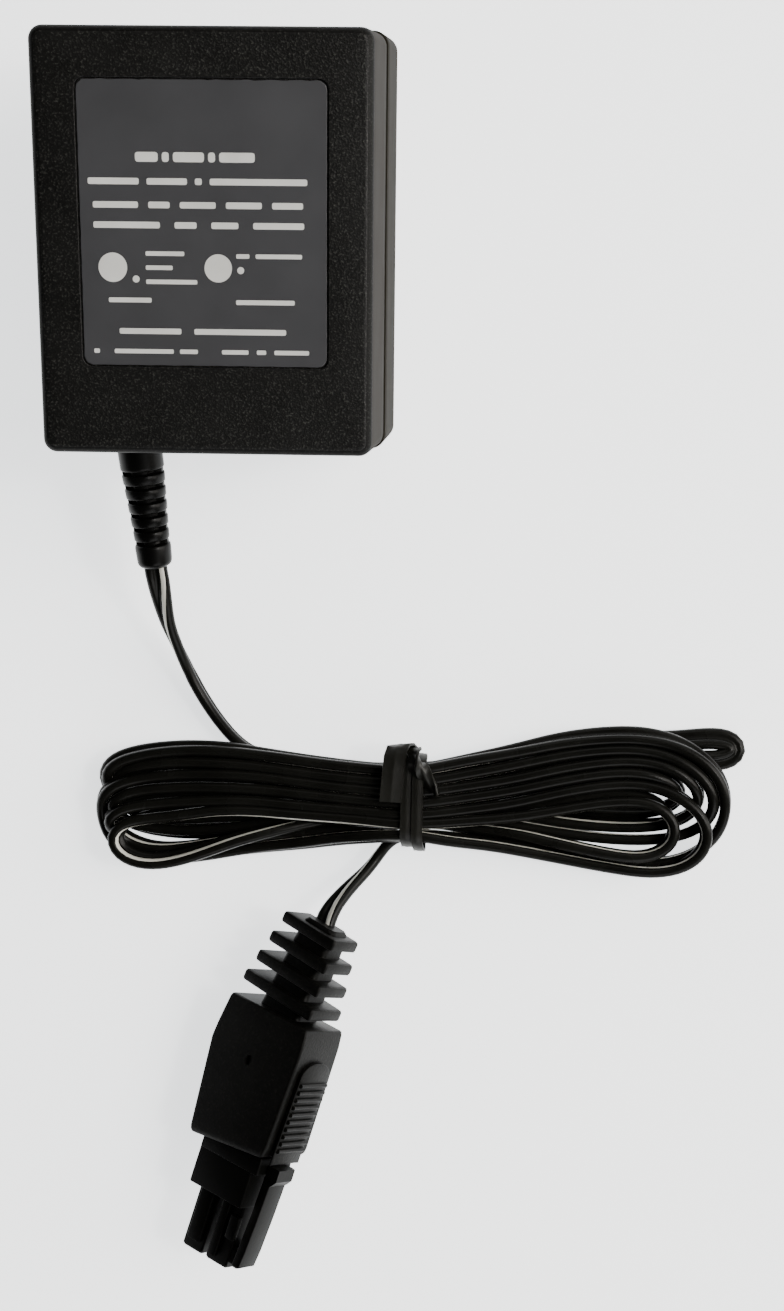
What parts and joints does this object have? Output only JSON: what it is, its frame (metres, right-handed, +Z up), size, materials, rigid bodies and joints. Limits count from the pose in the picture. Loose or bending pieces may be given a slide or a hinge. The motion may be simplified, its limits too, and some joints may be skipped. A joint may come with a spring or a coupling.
{
  "type": "plug-in power adapter",
  "caption": "Black plug-in transformer adapter with two wall blades, a ribbed strain relief, a tied flat cord and a latching two-way plug.",
  "frame": {"origin": "under the middle of the case, on the surface that it lies on", "axes": "+Z up, +Y along the case towards the end with the blades, +X across the case; the cord runs towards -Y"},
  "size_m": [0.1251, 0.2205, 0.0607],
  "materials": {
    "front_cover": "black moulded plastic, fine grain",
    "rear_cover": "black moulded plastic, fine grain",
    "rating_label": "dark grey satin film",
    "blades": "nickel plated brass",
    "carrier": "moulded phenolic",
    "laminations": "rolled electrical steel",
    "bobbin": "natural nylon",
    "copper": "enamelled copper wire",
    "tape": "polyester tape",
    "fuse": "epoxy body",
    "tinned": "tinned copper",
    "wire_black": "insulation",
    "wire_white": "insulation",
    "relief": "soft black vinyl",
    "cord": "soft black vinyl",
    "stripe": "pale stripe on one core",
    "tie": "black vinyl over a wire",
    "overmould": "soft black vinyl",
    "housing": "black nylon",
    "contact": "brass"
  },
  "bodies": {
    "root": {"front_cover": "front_cover", "rear_cover": "rear_cover", "rating_label": "rating_label", "blade_line": "blades", "blade_neutral": "blades", "blade_carrier": "carrier", "core_e_stack": "laminations", "core_i_stack": "laminations", "bobbin": "bobbin", "primary_winding": "copper", "secondary_winding": "copper", "primary_tape": "tape", "secondary_tape": "tape", "thermal_fuse": "fuse", "primary_terminals": "tinned", "secondary_terminals": "tinned", "lead_line": "wire_black", "lead_neutral": "wire_white", "lead_secondary_1": "wire_black", "lead_secondary_2": "wire_black", "strain_relief": "relief", "cord_lead": "cord", "cord_hank": "cord", "cord_tail": "cord", "twist_tie": "tie", "plug_overmould": "overmould", "plug_housing": "housing", "plug_contact_1": "contact", "plug_contact_2": "contact"}
  },
  "joints": []
}
